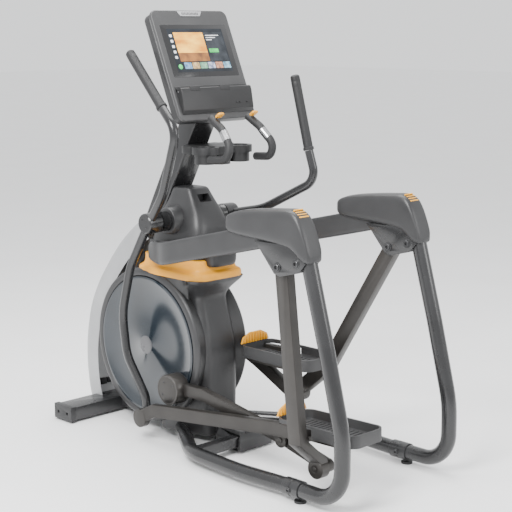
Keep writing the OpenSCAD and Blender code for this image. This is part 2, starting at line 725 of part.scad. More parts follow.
// ---- pedal arms: local origin at the link's pivot, local +Y towards the lever ----
tray_tilt = 3.2;
tray_front = 2;
tray_z = 50;
arm_lift = 50;
seat_t = 16;
module pedal_arm() {
    back = -160;
    union() {
        intersection() {
            slab(0, 500) {
                chain([[back, arm_lift - 4], [0, arm_lift], [arm_l - 90, arm_lift - 8], [arm_l, 4]], arm_h);
            }
            translate([0, 0, -100]) linear_extrude(300) polygon([[lug_x, back], [lug_x, 40], [arm_x, arm_l - 20],
                [arm_x, arm_l + 60], [arm_x + arm_w, arm_l + 60], [arm_x + arm_w, arm_l - 20], [lug_x + 36, 20], [lug_x + 36, back]]);
        }
        disc([arm_l, 0], arm_x, arm_x + arm_w, 40);
        difference() {
            slab(lug_x, lug_w) strut([0, 0], [0, arm_lift], 60);
            disc([0, 0], lug_x - 1, lug_x + lug_w + 1, arm_pin_r + run_gap);
        }
        posed([0, 0], tray_tilt) box([pedal_gap + 22, -330, tray_z - 1 - seat_t], [lug_x + 20, -60, tray_z - 1]);
    }
}
module pedal_arm_left() { color("#3c3835") left() posed(arm_pin_left, arm_turn_left) pedal_arm(); }
module pedal_arm_right() { color("#3c3835") posed(arm_pin_right, arm_turn_right) pedal_arm(); }
module pedal_tray() {
    rim = 9;
    floor_t = 14;
    difference() {
        posed([0, 0], tray_tilt) translate([pedal_gap, tray_front - pedal_l, tray_z]) difference() {
            linear_extrude(pedal_h) rounded(pedal_w, pedal_l, 46);
            translate([rim, rim, floor_t]) linear_extrude(pedal_h) rounded(pedal_w - 2 * rim, pedal_l - 2 * rim, 38);
        }
        slab(lug_x - 1, 300) {
            strip([-200, arm_lift - 5], [100, arm_lift], arm_h + 10);
        }
    }
}
module pedal_tray_left() { color("#3a3a3a") left() posed(arm_pin_left, arm_turn_left) pedal_tray(); }
module pedal_tray_right() { color("#3a3a3a") posed(arm_pin_right, arm_turn_right) pedal_tray(); }
guard_h = 46;
guard_t = 8;
module toe_guard() {
    posed([0, 0], tray_tilt) translate([pedal_gap, tray_front - 1, tray_z + pedal_h + 0.2]) rotate([90, 0, 0])
        linear_extrude(guard_t) polygon([[12, 0], [24, guard_h * 0.6], [62, guard_h], [pedal_w - 62, guard_h],
            [pedal_w - 24, guard_h * 0.6], [pedal_w - 12, 0]]);
}
module toe_guard_left() { color("orange") left() posed(arm_pin_left, arm_turn_left) toe_guard(); }
module toe_guard_right() { color("orange") posed(arm_pin_right, arm_turn_right) toe_guard(); }

// ---- console ----
module console_frame() {
    translate(face_at) rotate([90 - console_lean, 0, 0]) children();
}
glass_low = 191;
module console_shell() {
    color("#333333") console_frame() difference() {
        translate([-console_w / 2 + 4, 4, -console_d - face_t]) linear_extrude(console_d) rounded(console_w - 8, face_h - 8, 30);
        translate([-console_w / 2 + 8, 8, -console_d - face_t + 4]) linear_extrude(console_d) rounded(console_w - 16, face_h - 16, 26);
    }
}
module console_face() {
    color("#474747") console_frame() difference() {
        translate([-console_w / 2, 0, -face_t + 0.2]) linear_extrude(face_t - 0.2) rounded(console_w, face_h, 30);
        translate([-screen_w / 2, glass_low, -8]) cube([screen_w, screen_h, 20]);
    }
}
module screen_glass() {
    color("#101418") console_frame() translate([-screen_w / 2 + 0.3, glass_low + 0.3, -8]) cube([screen_w - 0.6, screen_h - 0.6, 6.5]);
}
shelf_w = 400;
module tablet_shelf() {
    color("#2e2e2e") console_frame() slab(-shelf_w / 2, shelf_w) polygon([[26, gap], [42, 16], [112, 34], [134, 34],
        [137, 24], [124, 20], [120, 8], [128, 4], [150, 6], [152, gap]]);
}
module neck_bracket() {
    color("#303030") difference() {
        console_frame() box([-62, 30, -console_d - face_t - 64], [62, 190, -console_d - face_t - 0.2]);
        mast_frame() box([-100, -mast_d, -100], [100, mast_d, mast_top - mast_foot.y + 0.2]);
    }
}

// ---- controls under the console ----
tray_low = 1258;
tray_high = 1288;
tray_y = lever_y - 206;
grip_y = lever_y - 196;
cups_x = 96;
module cup_tray() {
    color("#2a2a2a") difference() {
        union() {
            translate([0, tray_y, tray_low]) linear_extrude(tray_high - tray_low) {
                for (s = [-1, 1]) translate([s * cups_x, 0]) circle(cup_d / 2 + 16);
                translate([-cups_x, -30]) square([2 * cups_x, 60 + 118]);
                for (s = [-1, 1]) translate([s * cups_x, 88]) circle(40);
            }
            for (s = [-1, 1]) translate([s * cups_x, tray_y, tray_low - 40]) cylinder(h = 41, r = cup_d / 2 + 5);
            translate([0, tray_y + 14, tray_low - 46]) cylinder(h = 47, r = 44);
        }
        for (s = [-1, 1]) translate([s * cups_x, tray_y, tray_low - 30]) cylinder(h = 100, r = cup_d / 2);
        mast_frame() box([-mast_w / 2 - 1, -mast_half - 1, 0], [mast_w / 2 + 1, mast_half + 1, 600]);
    }
}
module fixed_grip() {
    p = [[106, grip_y - 56, 1410], [110, grip_y - 124, 1370], [124, grip_y - 190, 1300], [128, grip_y - 170, 1246],
        [134, grip_y - 76, 1240]];
    bar(path(p, [0, 70, 46, 40, 0]), fixed_grip_d / 2);
}
module fixed_grips() { color("#222222") pair() fixed_grip(); }
module thumb_switch() {
    translate([98, grip_y - 102.3, 1420.5]) rotate([-35, 0, 0]) translate([-16, -16, 0]) linear_extrude(9) rounded(32, 32, 8);
}
module thumb_switch_left() { color("orange") left() thumb_switch(); }
module thumb_switch_right() { color("orange") thumb_switch(); }

// ---- feet and wheels ----
foot_x = foot_bar_l / 2 - 34;
foot_gap = 0.3;
module foot(p, seat) {
    color("#151515") translate([p.x, p.y, 0]) {
        cylinder(h = 10, r = foot_d / 2);
        cylinder(h = seat, r = 5);
    }
}
module foot_front_left() { foot([-foot_x, bar_y + foot_bar_w / 2], spine_z - 12 - foot_gap); }
module foot_front_right() { foot([foot_x, bar_y + foot_bar_w / 2], spine_z - 12 - foot_gap); }
module foot_rear_left() { foot([-tube_x, sleeve_y - 30], tube_z - tube_d / 2 - 5 - foot_gap); }
module foot_rear_right() { foot([tube_x, sleeve_y - 30], tube_z - tube_d / 2 - 5 - foot_gap); }
module wheel_left() { color("#202020") left() wheel(); }
module wheel_right() { color("#202020") wheel(); }
module wheel() {
    disc(wheel_at, wheel_x, wheel_x + wheel_w, wheel_d / 2);
    disc(wheel_at, wheel_x - lug_t - gap, wheel_x + wheel_w + gap + lug_t, wheel_pin_r);
}

base_frame();
foot_end_caps();
frame_bolts();
coupling_sleeves();
lower_tube();
rear_tube_left();
rear_tube_right();
beam_left();
beam_right();
bracket_plates();
beam_cover_left();
beam_cover_right();
tower_post();
mast();
shroud_left();
shroud_right();
front_cover();
accent_band();
shoulder_cover();
rear_pocket();
base_skirt();
crank_bearings();
drive_belt();
brake_coil();
control_board();
power_inlet();
power_switch();
console_shell();
console_face();
screen_glass();
tablet_shelf();
neck_bracket();
cup_tray();
fixed_grips();
thumb_switch_left();
thumb_switch_right();
crank_axle();
crank_pulley();
crank_discs();
flywheel();
hand_lever_left();
hand_lever_right();
lever_grip_left();
lever_grip_right();
crank_link_left();
crank_link_right();
rocker_left();
rocker_right();
pedal_arm_left();
pedal_arm_right();
pedal_tray_left();
pedal_tray_right();
toe_guard_left();
toe_guard_right();
foot_front_left();
foot_front_right();
foot_rear_left();
foot_rear_right();
wheel_left();
wheel_right();
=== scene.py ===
import bpy, bmesh, json, math
from math import radians, sin, cos, pi
from mathutils import Vector, Matrix


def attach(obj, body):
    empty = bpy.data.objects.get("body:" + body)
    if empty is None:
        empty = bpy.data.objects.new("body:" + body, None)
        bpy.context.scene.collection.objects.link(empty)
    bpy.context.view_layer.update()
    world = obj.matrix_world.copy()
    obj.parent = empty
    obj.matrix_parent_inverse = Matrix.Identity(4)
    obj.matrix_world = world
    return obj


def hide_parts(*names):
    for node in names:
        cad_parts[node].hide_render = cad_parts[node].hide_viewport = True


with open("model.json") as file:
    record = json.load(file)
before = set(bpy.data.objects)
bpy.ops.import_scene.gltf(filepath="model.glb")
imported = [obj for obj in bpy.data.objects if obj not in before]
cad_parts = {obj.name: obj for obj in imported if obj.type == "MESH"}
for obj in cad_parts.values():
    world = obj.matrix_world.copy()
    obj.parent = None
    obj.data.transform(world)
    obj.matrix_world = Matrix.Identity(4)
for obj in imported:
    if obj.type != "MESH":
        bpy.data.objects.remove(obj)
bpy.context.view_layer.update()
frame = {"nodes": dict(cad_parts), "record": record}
nodeBody = {n: b for b, ns in frame["record"]["behaviour"]["bodies"].items() for n in ns}
nodeSlot = {s["node"]: s["material_slot"] for s in frame["record"]["subparts"]}
scene = bpy.context.scene

# camera
cameraSet = {"lens": 90.99, "place": (-3.740, -3.893, 1.783), "turn": -44.78, "drop": 10.06}
camData = bpy.data.cameras.new("camera")
camData.lens = cameraSet["lens"]
camera = bpy.data.objects.new("camera", camData)
camera.location = cameraSet["place"]
camera.rotation_euler = (radians(90 - cameraSet["drop"]), 0, radians(cameraSet["turn"]))
scene.collection.objects.link(camera)
scene.camera = camera
print("camera placed")


# materials
def addNode(mat, kind, **values):
    n = mat.node_tree.nodes.new(kind)
    for k, v in values.items():
        if k in n.inputs:
            n.inputs[k].default_value = v
        else:
            setattr(n, k, v)
    return n


def finishOf(name, low, high, rough, metal=0.0, grain=900, bump=0.05, mottle=9, wear=0.0, coat=0.0,
             roughSpread=0.08):
    mat = bpy.data.materials.new(name)
    mat.use_nodes = True
    link = mat.node_tree.links.new
    shader = mat.node_tree.nodes["Principled BSDF"]
    shader.inputs["Metallic"].default_value = metal
    shader.inputs["Coat Weight"].default_value = coat
    shader.inputs["Coat Roughness"].default_value = 0.12
    coords = addNode(mat, "ShaderNodeTexCoord")
    broad = addNode(mat, "ShaderNodeTexNoise", Scale=mottle, Detail=4.0)
    fine = addNode(mat, "ShaderNodeTexNoise", Scale=grain, Detail=2.0)
    for n in (broad, fine):
        link(coords.outputs["Object"], n.inputs["Vector"])
    blend = addNode(mat, "ShaderNodeMath", operation="MULTIPLY_ADD")
    blend.inputs[1].default_value = 0.4
    link(fine.outputs["Fac"], blend.inputs[0])
    link(broad.outputs["Fac"], blend.inputs[2])
    ramp = addNode(mat, "ShaderNodeValToRGB")
    ramp.color_ramp.elements[0].position = 0.45
    ramp.color_ramp.elements[0].color = (*low, 1)
    ramp.color_ramp.elements[1].position = 0.95
    ramp.color_ramp.elements[1].color = (*high, 1)
    link(blend.outputs[0], ramp.inputs["Fac"])
    colour = ramp.outputs["Color"]
    if wear:
        geo = addNode(mat, "ShaderNodeNewGeometry")
        edge = addNode(mat, "ShaderNodeMapRange")
        for k, v in (("From Min", 0.52), ("From Max", 0.62), ("To Min", 0.0), ("To Max", wear)):
            edge.inputs[k].default_value = v
        link(geo.outputs["Pointiness"], edge.inputs["Value"])
        mix = addNode(mat, "ShaderNodeMix", data_type="RGBA")
        link(edge.outputs["Result"], mix.inputs["Factor"])
        link(colour, mix.inputs[6])
        mix.inputs[7].default_value = (*[min(1, c * 2.2 + 0.03) for c in high], 1)
        colour = mix.outputs[2]
    link(colour, shader.inputs["Base Color"])
    spread = addNode(mat, "ShaderNodeMapRange")
    spread.inputs["To Min"].default_value = rough - roughSpread
    spread.inputs["To Max"].default_value = rough + roughSpread
    link(broad.outputs["Fac"], spread.inputs["Value"])
    link(spread.outputs["Result"], shader.inputs["Roughness"])
    relief = addNode(mat, "ShaderNodeBump", Strength=bump, Distance=0.001)
    link(fine.outputs["Fac"], relief.inputs["Height"])
    link(relief.outputs["Normal"], shader.inputs["Normal"])
    return mat


powderBlack = finishOf("powderBlack", (0.0075, 0.0075, 0.008), (0.013, 0.013, 0.014), 0.27, grain=700,
                       bump=0.10, wear=0.25, coat=0.3)
linkageMetal = finishOf("linkageMetal", (0.026, 0.0235, 0.0215), (0.038, 0.035, 0.032), 0.34, metal=0.35,
                        grain=1500, bump=0.06, wear=0.3)
coverGrey = finishOf("coverGrey", (0.022, 0.022, 0.023), (0.031, 0.031, 0.032), 0.40, grain=1500, bump=0.12,
                     wear=0.2)
consoleGrey = finishOf("consoleGrey", (0.042, 0.042, 0.043), (0.054, 0.054, 0.055), 0.45, grain=1700,
                       bump=0.12, wear=0.2)
darkPlastic = finishOf("darkPlastic", (0.009, 0.009, 0.0095), (0.015, 0.015, 0.016), 0.44, grain=1200,
                       bump=0.12, wear=0.2)
silverShell = finishOf("silverShell", (0.34, 0.345, 0.35), (0.42, 0.425, 0.43), 0.32, metal=0.25,
                       grain=2000, bump=0.03, mottle=5)
lightTrim = finishOf("lightTrim", (0.34, 0.34, 0.35), (0.42, 0.42, 0.43), 0.4, grain=1500, bump=0.05)
accentOrange = finishOf("accentOrange", (0.72, 0.30, 0.012), (0.84, 0.38, 0.022), 0.38, grain=1300,
                        bump=0.06, wear=0.15)
brightSteel = finishOf("brightSteel", (0.42, 0.42, 0.43), (0.60, 0.60, 0.61), 0.26, metal=1.0, grain=1800,
                       bump=0.05)
darkSteel = finishOf("darkSteel", (0.05, 0.05, 0.052), (0.09, 0.09, 0.092), 0.34, metal=0.8, grain=1500,
                     bump=0.06)
castIron = finishOf("castIron", (0.10, 0.10, 0.10), (0.17, 0.17, 0.17), 0.55, metal=0.7, grain=500, bump=0.3)
gripRubber = finishOf("gripRubber", (0.010, 0.010, 0.0105), (0.017, 0.017, 0.018), 0.55, grain=1600,
                      bump=0.35)
pedalPlastic = finishOf("pedalPlastic", (0.027, 0.027, 0.028), (0.040, 0.040, 0.041), 0.50, grain=800,
                        bump=0.3, wear=0.25)
beltRubber = finishOf("beltRubber", (0.010, 0.010, 0.010), (0.02, 0.02, 0.02), 0.7, grain=900, bump=0.3)
coilCopper = finishOf("coilCopper", (0.28, 0.12, 0.04), (0.45, 0.2, 0.08), 0.35, metal=0.7, grain=400,
                      bump=0.4)
boardGreen = finishOf("boardGreen", (0.01, 0.09, 0.03), (0.02, 0.16, 0.05), 0.35, grain=300, bump=0.2,
                      mottle=60)
glassBlack = finishOf("glassBlack", (0.006, 0.006, 0.007), (0.009, 0.009, 0.010), 0.10, grain=2000,
                      bump=0.0, coat=0.6, roughSpread=0.03)
hubGrey = finishOf("hubGrey", (0.10, 0.10, 0.105), (0.14, 0.14, 0.145), 0.3, metal=0.3, grain=1500, bump=0.04)
slotFinish = {
    "frame_black": powderBlack, "cap_plastic": darkPlastic, "bolt_steel": brightSteel,
    "cover_grey": coverGrey,
    "silver_plastic": silverShell, "accent_orange": accentOrange, "belt_rubber": beltRubber,
    "coil_copper": coilCopper,
    "board_green": boardGreen, "screen_glass": glassBlack, "iron": castIron, "disc_gloss": glassBlack,
    "linkage_metal": linkageMetal, "grip_rubber": gripRubber, "pedal_plastic": pedalPlastic,
}


# disc material: dark glossy plastic with a painted reflection in its colour
def discFinishWithPaintedReflection():
    mat = finishOf("discPlastic", (0.010, 0.015, 0.020), (0.015, 0.021, 0.028), 0.18, grain=1500, bump=0.01,
                   coat=0.5, roughSpread=0.04)
    link = mat.node_tree.links.new
    shader = mat.node_tree.nodes["Principled BSDF"]
    old = shader.inputs["Base Color"].links[0].from_socket
    coords = addNode(mat, "ShaderNodeTexCoord")
    centre = addNode(mat, "ShaderNodeMapping")
    centre.inputs["Location"].default_value = (-0.391, -0.420, 0)
    swap = addNode(mat, "ShaderNodeSeparateXYZ")
    join = addNode(mat, "ShaderNodeCombineXYZ")
    link(coords.outputs["Object"], swap.inputs[0])
    link(swap.outputs["Z"], join.inputs["X"])
    link(swap.outputs["Y"], join.inputs["Y"])
    link(join.outputs[0], centre.inputs["Vector"])
    # painted reflection: three lighter fan-shaped bands, stronger towards the rim, stand in for the glossy
    # disc's reflections
    radial = addNode(mat, "ShaderNodeTexGradient", gradient_type="RADIAL")
    link(centre.outputs[0], radial.inputs[0])
    reflectionFan = addNode(mat, "ShaderNodeMath", operation="MULTIPLY")
    reflectionFan.inputs[1].default_value = 2 * pi * 3
    link(radial.outputs["Fac"], reflectionFan.inputs[0])
    reflectionWave = addNode(mat, "ShaderNodeMath", operation="SINE")
    link(reflectionFan.outputs[0], reflectionWave.inputs[0])
    soft = addNode(mat, "ShaderNodeMapRange")
    for k, v in (("From Min", 0.5), ("From Max", 0.75), ("To Min", 0.0), ("To Max", 0.55)):
        soft.inputs[k].default_value = v
    link(reflectionWave.outputs[0], soft.inputs["Value"])
    reach = addNode(mat, "ShaderNodeVectorMath", operation="LENGTH")
    link(centre.outputs[0], reach.inputs[0])
    ring = addNode(mat, "ShaderNodeMapRange")
    for k, v in (("From Min", 0.12), ("From Max", 0.27), ("To Min", 0.0), ("To Max", 1.0)):
        ring.inputs[k].default_value = v
    link(reach.outputs["Value"], ring.inputs["Value"])
    paintedReflection = addNode(mat, "ShaderNodeMath", operation="MULTIPLY")
    link(soft.outputs["Result"], paintedReflection.inputs[0])
    link(ring.outputs["Result"], paintedReflection.inputs[1])
    # mixes the lighter blue-grey of the painted reflection into the disc colour
    mix = addNode(mat, "ShaderNodeMix", data_type="RGBA")
    link(paintedReflection.outputs[0], mix.inputs["Factor"])
    link(old, mix.inputs[6])
    mix.inputs[7].default_value = (0.020, 0.027, 0.035, 1)
    link(mix.outputs[2], shader.inputs["Base Color"])
    return mat


discPlastic = discFinishWithPaintedReflection()


def glowFinish(name, low, high, scale, strength, stretch=(1, 1, 1)):
    mat = bpy.data.materials.new(name)
    mat.use_nodes = True
    link = mat.node_tree.links.new
    shader = mat.node_tree.nodes["Principled BSDF"]
    shader.inputs["Roughness"].default_value = 0.2
    coords = addNode(mat, "ShaderNodeTexCoord")
    place = addNode(mat, "ShaderNodeMapping")
    place.inputs["Scale"].default_value = stretch
    noise = addNode(mat, "ShaderNodeTexNoise", Scale=scale, Detail=5.0)
    ramp = addNode(mat, "ShaderNodeValToRGB")
    ramp.color_ramp.elements[0].position = 0.35
    ramp.color_ramp.elements[0].color = (*low, 1)
    ramp.color_ramp.elements[1].position = 0.65
    ramp.color_ramp.elements[1].color = (*high, 1)
    link(coords.outputs["Object"], place.inputs["Vector"])
    link(place.outputs[0], noise.inputs["Vector"])
    link(noise.outputs["Fac"], ramp.inputs["Fac"])
    link(ramp.outputs["Color"], shader.inputs["Base Color"])
    link(ramp.outputs["Color"], shader.inputs["Emission Color"])
    shader.inputs["Emission Strength"].default_value = strength
    return mat


print("materials made")


# shape helpers
def addPiece(name, bm, body, mats, stands=()):
    bmesh.ops.remove_doubles(bm, verts=bm.verts, dist=1e-6)
    bmesh.ops.recalc_face_normals(bm, faces=bm.faces)
    mesh = bpy.data.meshes.new(name)
    bm.to_mesh(mesh)
    bm.free()
    mesh.shade_smooth()
    mesh.set_sharp_from_angle(angle=radians(38))
    piece = bpy.data.objects.new(name, mesh)
    scene.collection.objects.link(piece)
    for m in mats if isinstance(mats, (list, tuple)) else [mats]:
        mesh.materials.append(m)
    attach(piece, body)
    if stands:
        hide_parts(*stands)
    return piece


def softenEdges(bm, width, segments=3, angle=28):
    bm.normal_update()
    sharp = [e for e in bm.edges if len(e.link_faces) == 2 and e.calc_face_angle(0) > radians(angle)]
    bmesh.ops.bevel(bm, geom=sharp, offset=width, offset_type="OFFSET", segments=segments, profile=0.5,
                    affect="EDGES", clamp_overlap=True, material=-1)


def refine(node, width, segments=3):
    source = frame["nodes"][node]
    bm = bmesh.new()
    bm.from_mesh(source.data)
    bmesh.ops.remove_doubles(bm, verts=bm.verts, dist=2e-5)
    bmesh.ops.dissolve_limit(bm, angle_limit=radians(1.5), verts=bm.verts, edges=bm.edges)
    if width:
        softenEdges(bm, width, segments)
    return addPiece(node + "_body", bm, nodeBody[node], slotFinish[nodeSlot[node]], (node,))


def mirrored(points, side):
    return [(p[0] * side, p[1], p[2]) for p in points]


def bendPath(corners, radii, step=radians(7)):
    pts = [Vector(c) for c in corners]
    out = [pts[0]]
    for k in range(1, len(pts) - 1):
        a, b = (pts[k - 1] - pts[k]).normalized(), (pts[k + 1] - pts[k]).normalized()
        turn = pi - a.angle(b)
        before = (pts[k - 1] - pts[k]).length * (0.49 if k > 1 else 0.95)
        after = (pts[k + 1] - pts[k]).length * (0.49 if k < len(pts) - 2 else 0.95)
        reach = min(radii[k] * math.tan(turn / 2), before, after)
        rad = reach / math.tan(turn / 2)
        hub = pts[k] + (a + b).normalized() * (rad / cos(turn / 2))
        start, end = pts[k] + a * reach - hub, pts[k] + b * reach - hub
        count = max(3, int(turn / step) + 2)
        for j in range(count + 1):
            t = j / count
            w0, w1 = sin((1 - t) * turn) / sin(turn), sin(t * turn) / sin(turn)
            out.append(hub + start * w0 + end * w1)
    out.append(pts[-1])
    return out


def sweepTube(points, radius):
    curve = bpy.data.curves.new("path", "CURVE")
    curve.dimensions = "3D"
    curve.bevel_depth = radius if not isinstance(radius, (list, tuple)) else 1.0
    curve.bevel_resolution = 8
    curve.use_fill_caps = True
    spline = curve.splines.new("POLY")
    spline.points.add(len(points) - 1)
    for k, p in enumerate(points):
        spline.points[k].co = (*p, 1)
        if isinstance(radius, (list, tuple)):
            spline.points[k].radius = radius[k]
    holder = bpy.data.objects.new("path", curve)
    scene.collection.objects.link(holder)
    bpy.context.view_layer.update()
    mesh = bpy.data.meshes.new_from_object(holder.evaluated_get(bpy.context.evaluated_depsgraph_get()))
    bm = bmesh.new()
    bm.from_mesh(mesh)
    bpy.data.objects.remove(holder)
    bpy.data.curves.remove(curve)
    bpy.data.meshes.remove(mesh)
    bmesh.ops.remove_doubles(bm, verts=bm.verts, dist=1e-6)
    return bm


def merge(target, other, place=None):
    if place:
        bmesh.ops.transform(other, matrix=place, verts=other.verts)
    mesh = bpy.data.meshes.new("part")
    other.to_mesh(mesh)
    other.free()
    target.from_mesh(mesh)
    bpy.data.meshes.remove(mesh)
    return target


def turned(profile, steps=64):
    bm = bmesh.new()
    vs = [bm.verts.new((x, r, 0)) for x, r in profile]
    es = [bm.edges.new((vs[k], vs[k + 1])) for k in range(len(vs) - 1)]
    bmesh.ops.spin(bm, geom=vs + es, cent=(0, 0, 0), axis=(1, 0, 0), angle=2 * pi, steps=steps,
                   use_merge=True)
    bmesh.ops.remove_doubles(bm, verts=bm.verts, dist=1e-6)
    return bm


def block(low, high, width=0.0, segments=3):
    bm = bmesh.new()
    bmesh.ops.create_cube(bm, size=1)
    low, high = Vector(low), Vector(high)
    size = high - low
    bmesh.ops.scale(bm, vec=size, verts=bm.verts)
    bmesh.ops.translate(bm, vec=(low + high) / 2, verts=bm.verts)
    if width:
        bmesh.ops.bevel(bm, geom=bm.edges[:], offset=width, offset_type="OFFSET", segments=segments,
                        profile=0.5,
                        affect="EDGES", clamp_overlap=True, material=-1)
    return bm


def plate(outline, low, high, width=0.0, segments=3, corner=0.0):
    bm = bmesh.new()
    face = bm.faces.new([bm.verts.new((x, y, low)) for x, y in outline])
    made = bmesh.ops.extrude_face_region(bm, geom=[face])
    top = [g for g in made["geom"] if isinstance(g, bmesh.types.BMVert)]
    bmesh.ops.translate(bm, vec=(0, 0, high - low), verts=top)
    bmesh.ops.recalc_face_normals(bm, faces=bm.faces)
    if corner:
        upright = [e for e in bm.edges if abs(e.verts[0].co.z - e.verts[1].co.z) > 1e-6]
        bmesh.ops.bevel(bm, geom=upright, offset=corner, offset_type="OFFSET", segments=6, profile=0.5,
                        affect="EDGES", clamp_overlap=True, material=-1)
    if width:
        flat = [e for e in bm.edges if len(e.link_faces) == 2 and e.calc_face_angle(0) > radians(50)]
        bmesh.ops.bevel(bm, geom=flat, offset=width, offset_type="OFFSET", segments=segments, profile=0.5,
                        affect="EDGES", clamp_overlap=True, material=-1)
    return bm


def along(points, t):
    last = len(points) - 1
    k = min(int(t * last), last - 1)
    f = t * last - k
    a, b, c, d = (Vector(points[max(0, min(last, k + j))]) for j in (-1, 0, 1, 2))
    square, cube = 2 * a - 5 * b + 4 * c - d, 3 * b - a - 3 * c + d
    return 0.5 * (2 * b + (c - a) * f + square * f * f + cube * f ** 3)


def loftRings(stations, axis, power=0.5, rows=48, around=56):
    bm = bmesh.new()
    bmesh.ops.create_grid(bm, x_segments=around, y_segments=rows, size=0.5)
    for v in bm.verts:
        a, t = 2 * pi * (v.co.x + 0.5), v.co.y + 0.5
        s = along([st[:3] for st in stations], t)
        h = along([(*st[3:5], st[5] if len(st) > 5 else power) for st in stations], t)
        c, w = cos(a), sin(a)
        p = max(0.05, h[2])
        u = abs(h[0]) * math.copysign(abs(c) ** p, c)
        q = abs(h[1]) * math.copysign(abs(w) ** p, w)
        v.co = s + (Vector((u, 0, q)) if axis == "Y" else Vector((u, q, 0)))
    bmesh.ops.remove_doubles(bm, verts=bm.verts, dist=2e-5)
    rim = [e for e in bm.edges if e.is_boundary]
    bmesh.ops.holes_fill(bm, edges=rim, sides=0)
    return bm


def loftSheet(sections, rows=40, across=32, thick=0.004):
    bm = bmesh.new()
    bmesh.ops.create_grid(bm, x_segments=across, y_segments=rows, size=0.5)
    for v in bm.verts:
        u, t = v.co.x + 0.5, v.co.y + 0.5
        line = [along([sec[j] for sec in sections], t) for j in range(len(sections[0]))]
        v.co = along(line, u)
    bmesh.ops.recalc_face_normals(bm, faces=bm.faces)
    if thick:
        bmesh.ops.solidify(bm, geom=bm.faces[:], thickness=thick)
    return bm


# frame tubes
tubes = {
    "x": 0.322, "radius": 0.031,
    "rear": [(0.322, -0.710, 0.985), (0.322, -0.814, 0.620), (0.322, -0.897, 0.300), (0.322, -0.898, 0.050),
             (0.322, -0.659, 0.050)],
    "rearBends": [0, 0.8, 0.5, 0.134, 0],
    "floor": [(0.322, -0.657, 0.050), (0.322, -0.598, 0.050), (0.338, -0.372, 0.050), (0.322, -0.070, 0.050),
              (0.110, 0.236, 0.050), (0.046, 0.236, 0.050)],
    "floorBends": [0, 0.4, 0.9, 0.26, 0.09, 0],
}
floorTubes = bmesh.new()
for side, word in ((-1, "left"), (1, "right")):
    rear = sweepTube(bendPath(mirrored(tubes["rear"], side), tubes["rearBends"]), tubes["radius"])
    addPiece("rearTube_" + word, rear, "frame", powderBlack, ("rear_tube_" + word,))
    merge(floorTubes, sweepTube(bendPath(mirrored(tubes["floor"], side), tubes["floorBends"]),
                                tubes["radius"]))
addPiece("floorTubes", floorTubes, "frame", powderBlack, ("lower_tube",))
refine("base_frame", 0.004)
refine("foot_end_caps", 0.004)
refine("base_skirt", 0.010)
refine("tower_post", 0.0015)
refine("mast", 0.010, segments=4)
refine("bracket_plates", 0.0016, segments=2)
refine("power_inlet", 0.0015)
refine("power_switch", 0.0015)
print("frame made")

# beams and their covers
beam = {
    "stations": [(0.140, 0.380, 0.818, 0.020, 0.030), (0.172, 0.325, 0.830, 0.024, 0.042),
                 (0.236, 0.220, 0.845, 0.027, 0.047),
                 (0.296, 0.120, 0.860, 0.028, 0.048), (0.320, 0.050, 0.873, 0.028, 0.048),
                 (0.322, -0.060, 0.900, 0.028, 0.048),
                 (0.322, -0.360, 0.972, 0.028, 0.048), (0.322, -0.664, 1.046, 0.027, 0.046)],
    "cover": [(-0.301, 1.048, 1.036, 0.006), (-0.306, 1.058, 1.024, 0.022), (-0.322, 1.072, 1.010, 0.037),
              (-0.350, 1.084, 1.003, 0.043),
              (-0.400, 1.097, 0.998, 0.0455), (-0.500, 1.110, 0.992, 0.046), (-0.600, 1.119, 0.984, 0.046),
              (-0.655, 1.121, 0.975, 0.046),
              (-0.688, 1.108, 0.958, 0.046), (-0.712, 1.078, 0.938, 0.045), (-0.734, 1.030, 0.930, 0.043),
              (-0.750, 0.985, 0.932, 0.039),
              (-0.757, 0.958, 0.938, 0.026)],
    "stripeAt": (-0.664, 1.112), "stripeStep": (0.0095, 0.0075),
}
for side, word in ((-1, "left"), (1, "right")):
    bm = loftRings([(side * st[0], *st[1:]) for st in beam["stations"]], "Y", 0.30, 60, 64)
    addPiece("beamShape_" + word, bm, "frame", coverGrey, ("beam_" + word,))
    bm = loftRings([(side * 0.322, y, (top + low) / 2, wide, (top - low) / 2, 0.42) for y, top, low,
                    wide in beam["cover"]], "Y", 0.42, 72, 72)
    addPiece("beamCover_" + word, bm, "frame", coverGrey, ("beam_cover_" + word,))
    bars = bmesh.new()
    for k in range(4):
        y, z = beam["stripeAt"]
        back, down = beam["stripeStep"]
        strip = block((-0.0245, -0.0026, -0.006), (0.0245, 0.0026, 0.0125), 0.001, 2)
        merge(bars, strip, Matrix.Translation((side * 0.322, y - k * back,
                                               z - k * down)) @ Matrix.Rotation(radians(28), 4, "X"))
    addPiece("coverStripes_" + word, bars, "frame", accentOrange)

# housing
housing = {
    "rim": [(0.0, 0.338), (0.110, 0.343), (0.134, 0.3445), (0.142, 0.341), (0.1465, 0.333), (0.1475, 0.322),
            (0.1460, 0.3115), (0.1430, 0.3092),
            (0.130, 0.3090), (0.129, 0.306), (0.129, 0.040)],
    "levels": [(0.030, 0.080, 0.092), (0.120, 0.078, 0.094), (0.240, 0.077, 0.096), (0.360, 0.079, 0.097),
               (0.440, 0.086, 0.096),
               (0.520, 0.104, 0.092), (0.590, 0.124, 0.088), (0.632, 0.130, 0.090), (0.660, 0.116, 0.100),
               (0.686, 0.096, 0.118), (0.702, 0.084, 0.132), (0.7165, 0.079, 0.141)],
}
for side, word in ((-1, "left"), (1, "right")):
    bm = turned([(x, rad - max(0, 0.134 - x) * 0.30 if rad > 0.33 else rad) for x, rad in housing["rim"]],
                160)
    bmesh.ops.transform(bm, matrix=Matrix.Translation((0, 0.420, 0.391)) @ Matrix.Scale(side, 4, (1, 0, 0)),
                        verts=bm.verts)
    addPiece("housingRim_" + word, bm, "frame", coverGrey, ("shroud_" + word,))
sections = []
